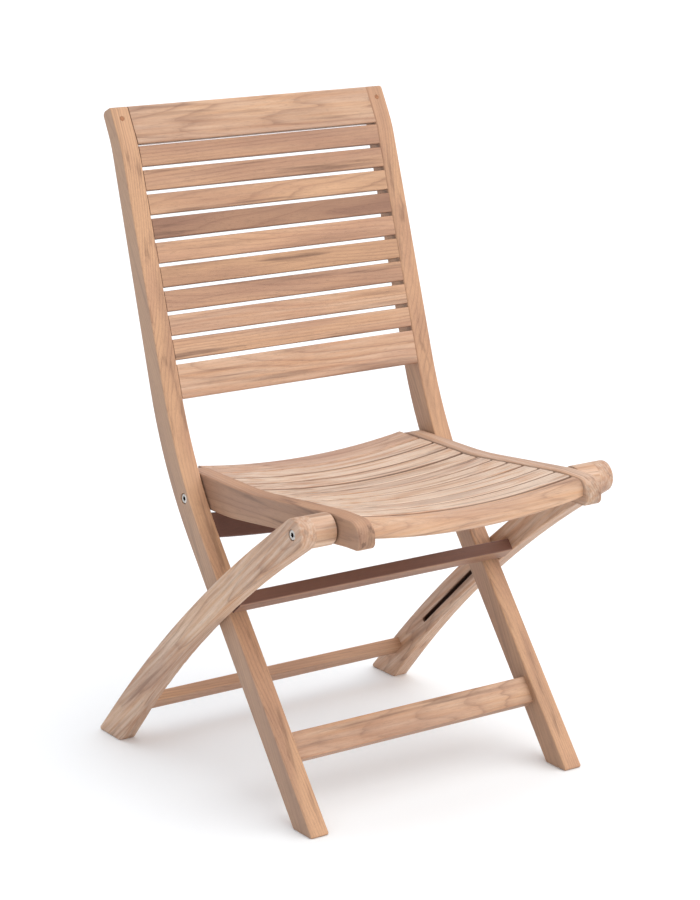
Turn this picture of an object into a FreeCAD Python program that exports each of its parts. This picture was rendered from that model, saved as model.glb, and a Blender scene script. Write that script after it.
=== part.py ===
"""Folding slatted garden chair in teak: each piece of timber and hardware is its own object.

The chair faces -Y and stands on z = 0 with the middle of its outline at the origin.
Three assemblies turn on one another: the back frame (stiles, back slats and cross rails),
the seat (side rails and dished slats) and the rear legs (bowed legs and their stretchers).
"""
import FreeCAD
import Part
import math
import os

V = FreeCAD.Vector
TOE = 222.1     # how far the front feet's toes stand ahead of the middle of the chair


def side(y, z):
    """A point of the side view, measured back from the front feet's toes, in the chair's frame."""
    return y - TOE, z


# ---- driving dimensions, mm -------------------------------------------------------------

DIMS = {
    "stile_inner": 195.0, "stile_thick": 28.0,
    "leg_inner": 224.5, "leg_thick": 25.5,
    "seat_outer": 193.5, "rail_thick": 25.5,
    "edge_round": 2.5, "slat_round": 2.0, "foot_round": 3.0,
    "back_slat_tall": 28.0, "back_slat_deep": 12.0,
    "lower_rail_tall": 47.0, "lower_rail_deep": 17.0,
    "front_bar_tall": 38.0, "front_bar_deep": 18.0,
    "leg_bar_tall": 25.0, "leg_bar_deep": 15.0, "upper_bar_deep": 18.0,
    "stop_rail_tall": 34.0, "stop_rail_deep": 12.0, "stop_rail_dish": 11.0,
    "tenon_long": 14.0, "tenon_step": 3.0,
    "seat_slat_wide": 30.0, "seat_slat_deep": 14.0, "rear_slat_wide": 48.0,
    "nose_slat_wide": 23.0, "nose_slat_deep": 24.0, "nose_round": 12.0, "nose_under": 4.0,
    "seat_dish": 13.0, "tongue_long": 9.0, "tongue_step": 3.0, "tongue_inset": 5.0,
    "bolt_shank": 3.0, "bolt_bore": 3.05, "bolt_head": 6.6, "bolt_head_deep": 2.6,
    "head_recess": 7.4, "head_recess_deep": 3.6, "hex_key": 2.9, "hex_deep": 1.8,
    "insert_outer": 5.0, "insert_long": 13.0,
    "washer_outer": 8.5, "washer_bore": 3.3, "washer_thick": 1.1,
    "barrel_round": 21.0, "barrel_end": 195.3, "barrel_let": 2.6, "recess_round": 21.5,
    "pin_round": 3.2, "pin_long": 19.0, "pin_proud": 0.9,
    "slot_half": 3.6, "slot_deep": 11.0,
    "plug_round": 3.5, "plug_long": 5.4,
    "top_rail_tall": 36.0, "top_rail_deep": 15.0,
}

REAR_PIVOT = side(308, 384)      # seat on the stiles
FRONT_PIVOT = side(3, 412)       # rear legs on the seat
CROSSING = side(218, 254)        # slot pin, where leg and stile cross
SLOT_END = side(374, 112)        # far end of the slot in each rear leg

BACK_LEAN = math.atan(0.3168)    # back rest, away from upright
LEG_LEAN = math.atan(0.7766)     # lower half of the stiles
TOP_LEAN = math.atan(0.5490)     # swept top of the stiles
BACK_SLATS = 9
SEAT_SLATS = 10
BACK_PITCH = 31.5
SEAT_PITCH = 34.0

doc = FreeCAD.newDocument("folding_chair")
sheet = doc.addObject("Spreadsheet::Sheet", "Dims")
for row, (dim_name, dim_value) in enumerate(DIMS.items(), start=1):
    sheet.set("A%d" % row, dim_name)
    sheet.set("B%d" % row, str(dim_value))
    sheet.setAlias("B%d" % row, dim_name)
doc.recompute()
nodes = []


def ref(text):
    """Turn the dimension names in a sum into references to the sheet."""
    for name in sorted(DIMS, key=len, reverse=True):
        text = text.replace("{%s}" % name, "Dims.%s" % name)
    return text


def value(text):
    """The number a plain dimension reference stands for."""
    return DIMS[text.strip("{}")]


def place(x, y, z, tilt=0.0):
    """A placement turned about the chair's width by tilt, leaning the piece's top back."""
    return FreeCAD.Placement(V(x, y, z), FreeCAD.Rotation(V(1, 0, 0), -math.degrees(tilt)))


def across(x, y, z, toward=1):
    """A placement whose local z runs along the chair's width, to the +X or -X side."""
    return FreeCAD.Placement(V(x, y, z), FreeCAD.Rotation(V(0, 1, 0), 90 * toward))


# ---- outlines ---------------------------------------------------------------------------

def rounded_outline(corners):
    """Lines and tangent arcs through (y, z, radius) corners of a closed outline."""
    count = len(corners)
    ends = []
    for i, (y, z, radius) in enumerate(corners):
        here = V(y, z, 0)
        before = V(corners[i - 1][0], corners[i - 1][1], 0) - here
        after = V(corners[(i + 1) % count][0], corners[(i + 1) % count][1], 0) - here
        before.normalize()
        after.normalize()
        half = math.acos(max(-1.0, min(1.0, before.dot(after)))) / 2
        reach = radius / math.tan(half)
        bisector = (before + after).normalize()
        middle = here + bisector * (radius / math.sin(half) - radius)
        ends.append((here + before * reach, middle, here + after * reach))
    shapes = []
    for i in range(count):
        entry, middle, leave = ends[i]
        if corners[i][2] > 0:
            shapes.append(Part.Arc(entry, middle, leave))
        shapes.append(Part.LineSegment(leave, ends[(i + 1) % count][0]))
    return shapes


def arc(start, through, end):
    """An arc through three (y, z) points."""
    return Part.Arc(V(start[0], start[1], 0), V(through[0], through[1], 0), V(end[0], end[1], 0))


def line(start, end):
    """A straight edge between two (y, z) points."""
    return Part.LineSegment(V(start[0], start[1], 0), V(end[0], end[1], 0))


# ---- building blocks --------------------------------------------------------------------

def new_body(label):
    """An empty body named as its node."""
    body = doc.addObject("PartDesign::Body", label)
    body.Label = label
    nodes.append(body)
    return body


def plane_sketch(body, name, role, offset, shapes):
    """A sketch on one of the body's own planes, stood off by an expression."""
    sketch = body.newObject("Sketcher::SketchObject", name)
    plane = [f for f in body.Origin.OriginFeatures if f.Role == role][0]
    sketch.AttachmentSupport = (plane, "")
    sketch.MapMode = "FlatFace"
    sketch.setExpression("AttachmentOffset.Base.z", ref(offset))
    sketch.addGeometry(shapes, False)
    return sketch


def pad(body, name, role, offset, length, shapes):
    """A pad of an outline along the plane's normal."""
    sketch = plane_sketch(body, name + "_outline", role, offset, shapes)
    feature = body.newObject("PartDesign::Pad", name)
    feature.Profile = sketch
    feature.setExpression("Length", ref(length))
    sketch.Visibility = False
    doc.recompute()
    return feature


def primitive(body, kind, name, placement, **sizes):
    """A box, cylinder or prism added to or cut from the body, sized by expressions."""
    feature = body.newObject("PartDesign::" + kind, name)
    feature.Placement = placement
    for size, text in sizes.items():
        feature.setExpression(size, ref(text))
    return feature


def round_edges(body, base, name, radius, wanted):
    """Fillet the base feature's edges that the test wants."""
    edges = ["Edge%d" % (i + 1) for i, edge in enumerate(base.Shape.Edges) if wanted(edge)]
    feature = body.newObject("PartDesign::Fillet", name)
    feature.Base = (base, edges)
    feature.setExpression("Radius", ref(radius))
    doc.recompute()
    return feature


def flat_to_side(edge):
    """True for an edge that lies in one side face, whatever its curve."""
    box = edge.BoundBox
    return box.XLength < 0.01 and edge.Length > 12 and box.ZMax > 1.0


def runs_across(edge):
    """True for a long edge running from side to side."""
    return edge.BoundBox.XLength > 300


def side_body(label, handed, inner, thick, shapes, radius="{edge_round}"):
    """A board sawn to an outline in the side view, standing outside the given inner face."""
    body = new_body(label)
    offset = inner if handed > 0 else "-(%s) - %s" % (inner, thick)
    base = pad(body, "board", "YZ_Plane", offset, thick, shapes)
    round_edges(body, base, "rounding", radius, flat_to_side)
    return body


def section_corner(at, tall, deep):
    """Lower front corner of a tenon's section whose middle is at the placement."""
    return at.multVec(V(0, DIMS["tenon_step"] - value(deep) / 2,
                        DIMS["tenon_step"] - value(tall) / 2))


def add_tenons(body, at, half_span, tall, deep):
    """A slimmer core through a cross piece, standing out as a stub tenon at each end."""
    corner = section_corner(at, tall, deep)
    core = primitive(body, "AdditiveBox", "tenons",
                     FreeCAD.Placement(V(0, corner.y, corner.z), at.Rotation),
                     Length="2 * (%s + {tenon_long})" % half_span,
                     Width="%s - 2 * {tenon_step}" % deep,
                     Height="%s - 2 * {tenon_step}" % tall)
    core.setExpression("Placement.Base.x", ref("-(%s) - {tenon_long}" % half_span))


def bar(label, placement, half_span, tall, deep):
    """A straight cross piece with a stub tenon at each end."""
    body = new_body(label)
    box = primitive(body, "AdditiveBox", "bar", FreeCAD.Placement(),
                    Length="2 * (%s)" % half_span, Width=deep, Height=tall)
    box.setExpression("Placement.Base.x", ref("-(%s)" % half_span))
    box.setExpression("Placement.Base.y", ref("-(%s) / 2" % deep))
    box.setExpression("Placement.Base.z", ref("-(%s) / 2" % tall))
    doc.recompute()
    round_edges(body, box, "rounding", "{slat_round}", runs_across)
    add_tenons(body, FreeCAD.Placement(), half_span, tall, deep)
    body.Placement = placement
    doc.recompute()
    return body


def mortise(body, name, handed, at, inner, tall, deep):
    """The pocket a stub tenon goes in, cut from a board's inner face."""
    corner = section_corner(at, tall, deep)
    box = primitive(body, "SubtractiveBox", name,
                    FreeCAD.Placement(V(0, corner.y, corner.z), at.Rotation),
                    Length="{tenon_long}", Width="%s - 2 * {tenon_step}" % deep,
                    Height="%s - 2 * {tenon_step}" % tall)
    box.setExpression("Placement.Base.x",
                      ref(inner if handed > 0 else "-(%s) - {tenon_long}" % inner))


def bore(body, name, x, at, radius, length, toward=1):
    """A round hole along the chair's width, from x toward one side."""
    hole = primitive(body, "SubtractiveCylinder", name, across(x, at[0], at[1], toward),
                     Radius=radius, Height=length)
    return hole


# ---- places of the cross pieces ---------------------------------------------------------

def back_face(z):
    """y of the back rest's front face at height z."""
    return side(363 + math.tan(BACK_LEAN) * (z - 542), z)[0]


def on_back(z, deep, recess=0.6):
    """Placement of a cross piece set in the back rest, its middle at height z."""
    inward = recess + deep / 2
    return place(0, back_face(z) + inward * math.cos(BACK_LEAN),
                 z - inward * math.sin(BACK_LEAN), BACK_LEAN)


def on_stile_foot(z, deep, recess):
    """Placement of a cross piece set in the lower half of the stiles."""
    y, z = side(math.tan(LEG_LEAN) * z, z)
    inward = recess + deep / 2
    return place(0, y + inward * math.cos(LEG_LEAN), z - inward * math.sin(LEG_LEAN), LEG_LEAN)


SLAT_PLACES = [on_back(824.5 - BACK_PITCH * i, DIMS["back_slat_deep"]) for i in range(BACK_SLATS)]
LOWER_RAIL = on_back(531, DIMS["lower_rail_deep"])
FRONT_BAR = on_stile_foot(101.5, DIMS["front_bar_deep"], 10)
STOP_RAIL = place(0, *side(284.5, 348.0), tilt=math.radians(20))
TOP_RAIL = place(0, *side(482.6, 862.3), tilt=TOP_LEAN)
UPPER_BAR = place(0, *side(180.4, 271.2), tilt=-math.radians(50.5))
FOOT_BAR = place(0, *side(443.6, 52.6), tilt=-math.radians(43.5))


def seat_top(y):
    """Height of the seat rails' top edge, y measured from the toes."""
    if y >= 190:
        return 413.0
    return 413.0 + 19.0 * min(1.0, (190 - y) / 190.0)


def on_seat(y, drop=2.0):
    """Placement of a seat slat, its top at the rails' inner faces."""
    rise = math.atan2(seat_top(y - 15) - seat_top(y + 15), 30)
    at = place(0, *side(y, seat_top(y) - drop))
    at.Rotation = FreeCAD.Rotation(V(1, 0, 0), -math.degrees(rise))
    return at


SEAT_PLACES = [on_seat(294 - SEAT_PITCH * i) for i in range(SEAT_SLATS)]
REAR_SLAT = on_seat(337.0, 3.0)
NOSE_SLAT = on_seat(-42.0, 1.5)


# ---- back frame -------------------------------------------------------------------------

def stile_outline():
    """The stile's side view: straight leg, bend at the seat, swept top."""
    corners = [(0, 0, 3), (323, 416, 600), (457, 838, 170), (485.5, 889, 5), (507, 879, 7),
               (485.5, 838, 150), (363, 413, 560), (46, 0, 3)]
    return rounded_outline([side(y, z) + (r,) for y, z, r in corners])


def top_rail_outline():
    """The top rail's section, following the swept tops of the stiles."""
    corners = [(458.0, 840.0, 2), (485.5, 888.9, 5), (503.6, 880.4, 6), (479.8, 834.2, 2)]
    return rounded_outline([side(y, z) + (r,) for y, z, r in corners])


def make_stile(label, handed):
    """A stile with its mortises, pivot bore, pin hole and plug hole."""
    body = side_body(label, handed, "{stile_inner}", "{stile_thick}", stile_outline())
    for i, at in enumerate(SLAT_PLACES):
        mortise(body, "slat_mortise_%d" % (i + 1), handed, at, "{stile_inner}",
                "{back_slat_tall}", "{back_slat_deep}")
    for name, at, tall, deep in (("top", TOP_RAIL, "{top_rail_tall}", "{top_rail_deep}"),
                                 ("lower", LOWER_RAIL, "{lower_rail_tall}", "{lower_rail_deep}"),
                                 ("front", FRONT_BAR, "{front_bar_tall}", "{front_bar_deep}"),
                                 ("stop", STOP_RAIL, "{stop_rail_tall}", "{stop_rail_deep}")):
        mortise(body, name + "_mortise", handed, at, "{stile_inner}", tall, deep)
    outer = DIMS["stile_inner"] + DIMS["stile_thick"]
    bore(body, "pivot_bore", handed * (DIMS["stile_inner"] - 1), REAR_PIVOT, "{bolt_bore}",
         "{stile_thick} + 2", handed)
    bore(body, "head_recess", handed * outer, REAR_PIVOT, "{head_recess}",
         "{head_recess_deep}", -handed)
    bore(body, "pin_hole", handed * outer, CROSSING, "{pin_round}",
         "{pin_long} - {pin_proud}", -handed)
    hole = primitive(body, "SubtractiveCylinder", "plug_hole", plug_place(handed, 1.0),
                     Radius="{plug_round}", Height="{plug_long} + 1")
    doc.recompute()
    return hole


def plug_place(handed, proud):
    """Placement of a plug in the swept face, running back into the stile."""
    y, z = side(476.8, 873.5)
    x = handed * (DIMS["stile_inner"] + DIMS["stile_thick"] / 2)
    inward = FreeCAD.Rotation(V(0, 0, 1), V(0, math.cos(TOP_LEAN), -math.sin(TOP_LEAN)))
    return FreeCAD.Placement(V(x, y - proud * math.cos(TOP_LEAN), z + proud * math.sin(TOP_LEAN)),
                             inward)


def make_top_rail():
    """The top rail, its swept section between the stiles, with a stub tenon at each end."""
    body = new_body("top_rail")
    pad(body, "rail", "YZ_Plane", "-{stile_inner}", "2 * {stile_inner}", top_rail_outline())
    add_tenons(body, TOP_RAIL, "{stile_inner}", "{top_rail_tall}", "{top_rail_deep}")
    doc.recompute()


def dished_band(half, deep, dish):
    """A band sagging between its ends, seen from the front."""
    return [arc((-half, 0), (0, -dish), (half, 0)), line((half, 0), (half, -deep)),
            arc((half, -deep), (0, -dish - deep), (-half, -deep)),
            line((-half, -deep), (-half, 0))]


def add_tongues(body, half, long, wide, tall, step):
    """A slimmer tongue at each end of a dished piece, a step below its top."""
    for name, start in (("left_tongue", "-(%s) - %s" % (half, long)),
                        ("right_tongue", "%s - 1" % half)):
        tongue = primitive(body, "AdditiveBox", name, FreeCAD.Placement(),
                           Length="%s + 1" % long, Width=wide, Height=tall)
        tongue.setExpression("Placement.Base.x", ref(start))
        tongue.setExpression("Placement.Base.y", ref("-(%s) / 2" % wide))
        tongue.setExpression("Placement.Base.z", ref("-(%s) - %s" % (tall, step)))
    doc.recompute()


def make_stop_rail():
    """The dished rail between the stiles, under the back of the seat."""
    body = new_body("stop_rail")
    tall = DIMS["stop_rail_tall"]
    band = dished_band(DIMS["stile_inner"], tall, DIMS["stop_rail_dish"])
    base = pad(body, "rail", "XZ_Plane", "-{stop_rail_deep} / 2", "{stop_rail_deep}", band)
    round_edges(body, base, "rounding", "{slat_round}", runs_across)
    add_tongues(body, "{stile_inner}", "{tenon_long}", "{stop_rail_deep} - 2 * {tenon_step}",
                "{stop_rail_tall} - 2 * {tenon_step}", "{tenon_step}")
    body.Placement = FreeCAD.Placement(STOP_RAIL.multVec(V(0, 0, tall / 2)), STOP_RAIL.Rotation)
    doc.recompute()


for side_name, hand in (("left", -1), ("right", 1)):
    make_stile(side_name + "_stile", hand)
make_top_rail()
for index, at_slat in enumerate(SLAT_PLACES):
    bar("back_slat_%d" % (index + 1), at_slat, "{stile_inner}", "{back_slat_tall}",
        "{back_slat_deep}")
bar("lower_back_rail", LOWER_RAIL, "{stile_inner}", "{lower_rail_tall}", "{lower_rail_deep}")
bar("front_stretcher", FRONT_BAR, "{stile_inner}", "{front_bar_tall}", "{front_bar_deep}")
make_stop_rail()


# ---- seat -------------------------------------------------------------------------------

def seat_rail_outline():
    """The seat rail's side view, dropping from a rounded nose to a slim rear end."""
    corners = [(-62, 432, 21), (0, 432, 160), (190, 413, 600), (340, 413, 60), (368, 404, 7),
               (352, 391, 10), (306, 367, 40), (240, 368, 300), (112, 382, 500), (-30, 395, 60),
               (-62, 396, 9)]
    return rounded_outline([side(y, z) + (r,) for y, z, r in corners])


def make_seat_rail(label, handed):
    """A seat rail with a groove for each slat's tongue and the two pivot bores."""
    inner = DIMS["seat_outer"] - DIMS["rail_thick"]
    body = side_body(label, handed, "{seat_outer} - {rail_thick}", "{rail_thick}",
                     seat_rail_outline())
    slats = [(at, "seat_slat_wide", "seat_slat_deep") for at in SEAT_PLACES]
    slats += [(REAR_SLAT, "rear_slat_wide", "seat_slat_deep"),
              (NOSE_SLAT, "nose_slat_wide", "nose_slat_deep")]
    for i, (at, wide, deep) in enumerate(slats):
        start = handed * inner if handed > 0 else -inner - DIMS["tongue_long"]
        corner = at.multVec(V(0, DIMS["tongue_inset"] - DIMS[wide] / 2,
                              DIMS["tongue_step"] - DIMS[deep]))
        primitive(body, "SubtractiveBox", "groove_%d" % (i + 1),
                  FreeCAD.Placement(V(start, corner.y, corner.z), at.Rotation),
                  Length="{tongue_long}", Width="{%s} - 2 * {tongue_inset}" % wide,
                  Height="{%s} - 2 * {tongue_step}" % deep)
    for name, pivot in (("rear", REAR_PIVOT), ("front", FRONT_PIVOT)):
        bore(body, name + "_insert_bore", handed * DIMS["seat_outer"], pivot, "{insert_outer}",
             "{insert_long}", -handed)
        bore(body, name + "_bore", handed * DIMS["seat_outer"], pivot, "{bolt_shank}",
             "{insert_long} + 2", -handed)
    doc.recompute()
    return body


def make_seat_slat(label, at, wide, deep, nose=False):
    """A dished seat slat with a tongue at each end, its front rounded over on the nose."""
    body = new_body(label)
    band = dished_band(DIMS["seat_outer"] - DIMS["rail_thick"], DIMS[deep], DIMS["seat_dish"])
    base = pad(body, "slat", "XZ_Plane", "-{%s} / 2" % wide, "{%s}" % wide, band)
    if nose:
        for name, radius, wanted in (
                ("front", "{nose_round}", lambda box: box.YMax < -10 and box.ZMax > -1),
                ("under", "{nose_under}", lambda box: box.YMax < -10 and box.ZMax < -20),
                ("rounding", "{slat_round}", lambda box: box.YMin > 10)):
            base = round_edges(body, base, name, radius,
                               lambda e: runs_across(e) and wanted(e.BoundBox))
    else:
        round_edges(body, base, "rounding", "{slat_round}", runs_across)
    add_tongues(body, "{seat_outer} - {rail_thick}", "{tongue_long}",
                "{%s} - 2 * {tongue_inset}" % wide, "{%s} - 2 * {tongue_step}" % deep,
                "{tongue_step}")
    body.Placement = at
    doc.recompute()


for side_name, hand in (("left", -1), ("right", 1)):
    make_seat_rail(side_name + "_seat_rail", hand)
make_seat_slat("rear_seat_slat", REAR_SLAT, "rear_slat_wide", "seat_slat_deep")
for index, at_slat in enumerate(SEAT_PLACES):
    make_seat_slat("seat_slat_%d" % (index + 1), at_slat, "seat_slat_wide", "seat_slat_deep")
make_seat_slat("nose_slat", NOSE_SLAT, "nose_slat_wide", "nose_slat_deep", nose=True)


# ---- rear legs --------------------------------------------------------------------------

def tangent_corner(centre, radius, first, second):
    """Where two tangents of a circle meet, each given by its outward bearing in degrees."""
    reach = radius / math.cos(math.radians(second - first) / 2)
    bearing = math.radians(first + second) / 2
    return centre[0] + reach * math.cos(bearing), centre[1] + reach * math.sin(bearing)


def leg_outline():
    """The rear leg's side view: bowed edges, round top about the front pivot, level foot."""
    radius = DIMS["barrel_round"]
    top = tangent_corner(FRONT_PIVOT, radius, 55.1, 146.3)
    nose = tangent_corner(FRONT_PIVOT, radius, 146.3, 237.5)
    return rounded_outline([
        side(511.6, 0) + (3,), side(284.1, 240.5) + (2600,), top + (radius - 0.4,),
        nose + (radius - 0.4,), side(248.6, 227.1) + (1900,), side(452, 0) + (3,)])


def slot_outline():
    """The slot that the stile's pin slides in, round at both ends."""
    start, end = V(CROSSING[0], CROSSING[1], 0), V(SLOT_END[0], SLOT_END[1], 0)
    along = (end - start).normalize()
    half = DIMS["slot_half"]
    out = V(-along.y, along.x, 0) * half
    back, ahead = start - along * half, end + along * half
    return [Part.LineSegment(start + out, end + out), Part.Arc(end + out, ahead, end - out),
            Part.LineSegment(end - out, start - out), Part.Arc(start - out, back, start + out)]


def make_leg(label, handed):
    """A rear leg with its pivot bore, slot and stretcher mortises."""
    body = side_body(label, handed, "{leg_inner}", "{leg_thick}", leg_outline())
    for name, at, deep in (("upper", UPPER_BAR, "{upper_bar_deep}"),
                           ("foot", FOOT_BAR, "{leg_bar_deep}")):
        mortise(body, name + "_mortise", handed, at, "{leg_inner}", "{leg_bar_tall}", deep)
    outer = DIMS["leg_inner"] + DIMS["leg_thick"]
    bore(body, "pivot_bore", handed * (DIMS["leg_inner"] - 1), FRONT_PIVOT, "{bolt_bore}",
         "{leg_thick} + 2", handed)
    bore(body, "barrel_recess", handed * (DIMS["leg_inner"] - 1), FRONT_PIVOT, "{recess_round}",
         "{barrel_let} + 1", handed)
    bore(body, "head_recess", handed * outer, FRONT_PIVOT, "{head_recess}",
         "{head_recess_deep}", -handed)
    doc.recompute()
    sketch = plane_sketch(body, "slot_outline", "YZ_Plane",
                          "{leg_inner}" if handed > 0 else "-{leg_inner}", slot_outline())
    slot = body.newObject("PartDesign::Pocket", "slot")
    slot.Profile = sketch
    slot.setExpression("Length", ref("{slot_deep}"))
    slot.Reversed = handed > 0
    sketch.Visibility = False
    doc.recompute()
    return body


def make_barrel(label, handed):
    """The round block let into the leg's top, filling the space to the seat rail."""
    y, z = FRONT_PIVOT
    body = new_body(label)
    start = handed * (DIMS["leg_inner"] + DIMS["barrel_let"])
    long = "{leg_inner} + {barrel_let} - {barrel_end}"
    block = primitive(body, "AdditiveCylinder", "block", across(start, y, z, -handed),
                      Radius="{barrel_round}", Height=long)
    doc.recompute()
    round_edges(body, block, "rounding", "{slat_round}",
                lambda e: abs(e.BoundBox.XMin) < 200 and e.BoundBox.XLength < 0.01)
    bore(body, "pivot_bore", start + handed, FRONT_PIVOT, "{bolt_bore}", long + " + 2", -handed)
    doc.recompute()


for side_name, hand in (("left", -1), ("right", 1)):
    make_leg(side_name + "_rear_leg", hand)
    make_barrel(side_name + "_leg_barrel", hand)
bar("upper_stretcher", UPPER_BAR, "{leg_inner}", "{leg_bar_tall}", "{upper_bar_deep}")
bar("foot_stretcher", FOOT_BAR, "{leg_inner}", "{leg_bar_tall}", "{leg_bar_deep}")


# ---- hardware ---------------------------------------------------------------------------

def solid(kind, placement, **sizes):
    """A plain Part primitive sized by expressions."""
    item = doc.addObject("Part::" + kind, "hw")
    item.Placement = placement
    for size, text in sizes.items():
        item.setExpression(size, ref(text))
    return item


def cut(base, tool):
    """One solid with another taken away."""
    item = doc.addObject("Part::Cut", "hw")
    item.Base, item.Tool = base, tool
    return item


def fuse(first, second):
    """Two solids joined."""
    item = doc.addObject("Part::Fuse", "hw")
    item.Base, item.Tool = first, second
    return item


def pair(label, make):
    """The left and right copies of one fastener, grouped as one node."""
    group = doc.addObject("Part::Compound", label)
    group.Links = [make(-1), make(1)]
    group.Label = label
    nodes.append(group)
    doc.recompute()
    return group


def bolt(outer, at):
    """A maker of pivot bolts: flat head with a hex socket in the outer face, shank inward."""
    tip = DIMS["seat_outer"] - DIMS["insert_long"] - 1
    crown = outer - 0.7

    def make(handed):
        head = solid("Cylinder", across(handed * crown, at[0], at[1], -handed),
                     Radius="{bolt_head}", Height="{bolt_head_deep}")
        shank = solid("Cylinder", across(handed * crown, at[0], at[1], -handed),
                      Radius="{bolt_shank}", Height="%f" % (crown - tip))
        socket = solid("Prism", across(handed * crown, at[0], at[1], -handed),
                       Circumradius="{hex_key}", Height="{hex_deep}")
        return cut(fuse(head, shank), socket)
    return make


def insert(at):
    """A maker of threaded inserts sunk in the seat rail's outer face."""
    def make(handed):
        start = across(handed * DIMS["seat_outer"], at[0], at[1], -handed)
        return cut(solid("Cylinder", start, Radius="{insert_outer}", Height="{insert_long}"),
                   solid("Cylinder", start, Radius="{bolt_shank}", Height="{insert_long}"))
    return make


def washer(x, at):
    """A maker of washers lying on the inner face at x, toward the seat rail."""
    def make(handed):
        start = across(handed * x, at[0], at[1], -handed)
        return cut(solid("Cylinder", start, Radius="{washer_outer}", Height="{washer_thick}"),
                   solid("Cylinder", start, Radius="{washer_bore}", Height="{washer_thick}"))
    return make


def slot_pin(handed):
    """A steel pin let into the stile's outer face at the crossing."""
    x = handed * (DIMS["stile_inner"] + DIMS["stile_thick"] + DIMS["pin_proud"])
    return solid("Cylinder", across(x, CROSSING[0], CROSSING[1], -handed),
                 Radius="{pin_round}", Height="{pin_long}")


def stile_plug(handed):
    """A wooden plug in the swept top of the stile."""
    return solid("Cylinder", plug_place(handed, 0.0), Radius="{plug_round}",
                 Height="{plug_long}")


pair("rear_pivot_bolts", bolt(DIMS["stile_inner"] + DIMS["stile_thick"], REAR_PIVOT))
pair("front_pivot_bolts", bolt(DIMS["leg_inner"] + DIMS["leg_thick"], FRONT_PIVOT))
pair("rear_pivot_inserts", insert(REAR_PIVOT))
pair("front_pivot_inserts", insert(FRONT_PIVOT))
pair("rear_pivot_washers", washer(DIMS["stile_inner"], REAR_PIVOT))
pair("front_pivot_washers", washer(DIMS["barrel_end"], FRONT_PIVOT))
pair("slot_pins", slot_pin)
pair("stile_plugs", stile_plug)

# ---- check and export -------------------------------------------------------------------

doc.recompute()
for thing in doc.Objects:
    if "Invalid" in thing.State or "Error" in thing.State:
        raise RuntimeError("%s did not rebuild: %s" % (thing.Label, thing.State))
os.makedirs("parts", exist_ok=True)
overall = FreeCAD.BoundBox()
for node in nodes:
    if node.Shape.isNull() or not node.Shape.isValid():
        raise RuntimeError("%s has no valid shape" % node.Label)
    overall.add(node.Shape.BoundBox)
    node.Shape.exportStep(os.path.join("parts", node.Label + ".step"))
print("%d parts, x %.1f..%.1f y %.1f..%.1f z %.1f..%.1f" % (
    len(nodes), overall.XMin, overall.XMax, overall.YMin, overall.YMax, overall.ZMin,
    overall.ZMax))
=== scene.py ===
"""Looks for a folding slatted teak garden chair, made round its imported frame.

The slats, bolts and plugs are laid out by node trees. The sawn boards keep the frame's own
shapes and take a timber finish whose grain runs along each board.
"""

import logging
import math
from dataclasses import dataclass, field
from enum import Enum
from typing import Any, Sequence, Union

import bpy
from mathutils import Matrix, Vector


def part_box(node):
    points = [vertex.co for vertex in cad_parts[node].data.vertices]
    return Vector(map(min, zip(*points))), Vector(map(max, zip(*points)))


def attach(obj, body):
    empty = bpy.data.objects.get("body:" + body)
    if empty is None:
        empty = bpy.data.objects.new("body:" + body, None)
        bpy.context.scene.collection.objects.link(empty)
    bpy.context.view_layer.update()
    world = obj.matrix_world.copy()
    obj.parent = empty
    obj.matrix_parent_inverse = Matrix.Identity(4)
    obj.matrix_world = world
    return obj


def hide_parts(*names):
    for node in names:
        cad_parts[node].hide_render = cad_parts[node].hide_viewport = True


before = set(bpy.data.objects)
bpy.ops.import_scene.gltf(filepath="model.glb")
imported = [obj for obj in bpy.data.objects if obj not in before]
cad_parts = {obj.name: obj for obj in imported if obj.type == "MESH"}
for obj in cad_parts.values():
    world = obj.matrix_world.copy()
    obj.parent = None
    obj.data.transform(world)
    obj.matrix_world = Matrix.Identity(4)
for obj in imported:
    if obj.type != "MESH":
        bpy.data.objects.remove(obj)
log = logging.getLogger("folding_chair")

Colour = tuple[float, float, float]
Number = Union[int, float]
Operand = Union["Value", int, float]


# ---- node graphs ------------------------------------------------------------------------

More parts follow.
